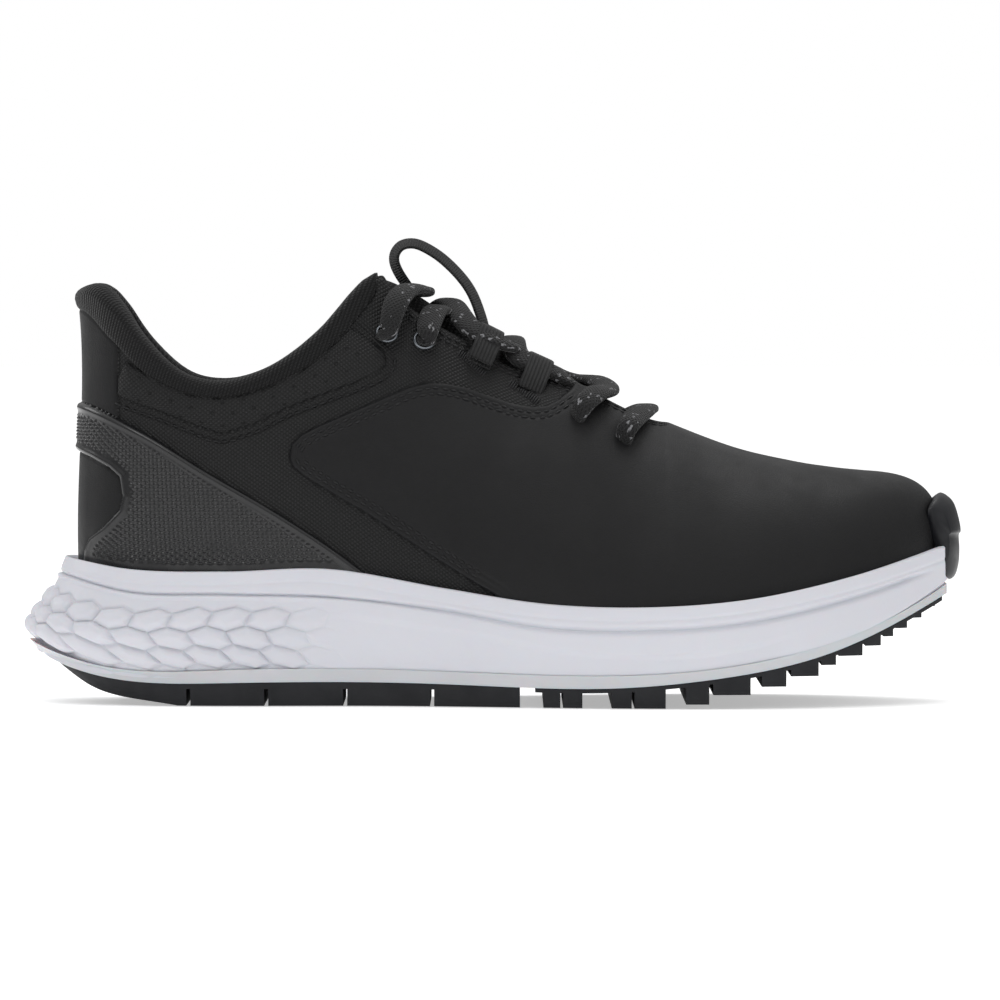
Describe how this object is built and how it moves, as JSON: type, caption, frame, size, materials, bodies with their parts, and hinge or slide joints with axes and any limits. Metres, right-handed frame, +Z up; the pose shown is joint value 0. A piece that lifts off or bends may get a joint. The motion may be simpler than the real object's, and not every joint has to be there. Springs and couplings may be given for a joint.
{
  "type": "golf shoe",
  "caption": "Spikeless golf shoe with a padded collar and tongue, laced through eyelets and webbing loops, on a foam midsole with a lugged rubber outsole.",
  "frame": {"origin": "centre of the shoe's footprint box on the ground", "axes": "+X from the heel to the toe, +Y to the medial side of this right shoe, +Z up"},
  "size_m": [0.2797, 0.1024, 0.1375],
  "materials": {
    "midsole": "matte foam",
    "plate": "satin, slightly translucent",
    "tread": "matte",
    "bumper": "semi-gloss",
    "board": "non-woven board",
    "leather": "smooth matte grain",
    "textured": "embossed, semi-gloss",
    "film": "gloss, diamond relief",
    "counter": "matte",
    "foam": "open foam",
    "knit": "ribbed knit",
    "cover": "brushed knit",
    "metal": "gunmetal",
    "webbing": "grosgrain",
    "lace": "flat braid with grey flecks"
  },
  "bodies": {
    "shoe": {"midsole_rim": "midsole", "midsole_foam": "midsole", "outsole_plate": "plate", "heel_tread": "tread", "forefoot_tread_lateral": "tread", "forefoot_tread_centre": "tread", "forefoot_tread_medial": "tread", "toe_tread": "tread", "toe_bumper": "bumper", "strobel_board": "board", "sockliner_foam": "foam", "sockliner_cover": "cover", "vamp_shell": "leather", "heel_wrap": "film", "heel_badge": "leather", "quarter_lateral": "textured", "quarter_medial": "textured", "collar_panel_lateral": "textured", "collar_panel_medial": "textured", "heel_tab": "leather", "toe_puff": "counter", "heel_counter": "counter", "heel_padding": "foam", "collar_foam": "foam", "collar_roll": "knit", "collar_lining": "knit", "vamp_lining": "cover", "eyelets_lateral": "metal", "eyelets_medial": "metal", "lace_lateral": "lace", "lace_medial": "lace", "lace_loops_lateral": "webbing", "lace_loops_medial": "webbing"},
    "tongue": {"tongue_cover": "textured", "tongue_foam": "foam", "tongue_lining": "knit", "loop_feet": "webbing"},
    "pull_loop": {"pull_loop": "webbing"}
  },
  "joints": [
    {"name": "tongue_tilt", "type": "hinge", "parent": "shoe", "child": "tongue", "pos_m": [0.049, 0, 0.0765], "axis": [0, -1, 0], "range_deg": [0, 2], "stiffness_Nm_per_rad": 0.4, "springref_deg": -1.15},
    {"name": "loop_swing", "type": "hinge", "parent": "tongue", "child": "pull_loop", "pos_m": [-0.0245, 0, 0.1219], "axis": [0.8571, 0, -0.5152], "range_deg": [-10, 10], "stiffness_Nm_per_rad": 0.004}
  ]
}
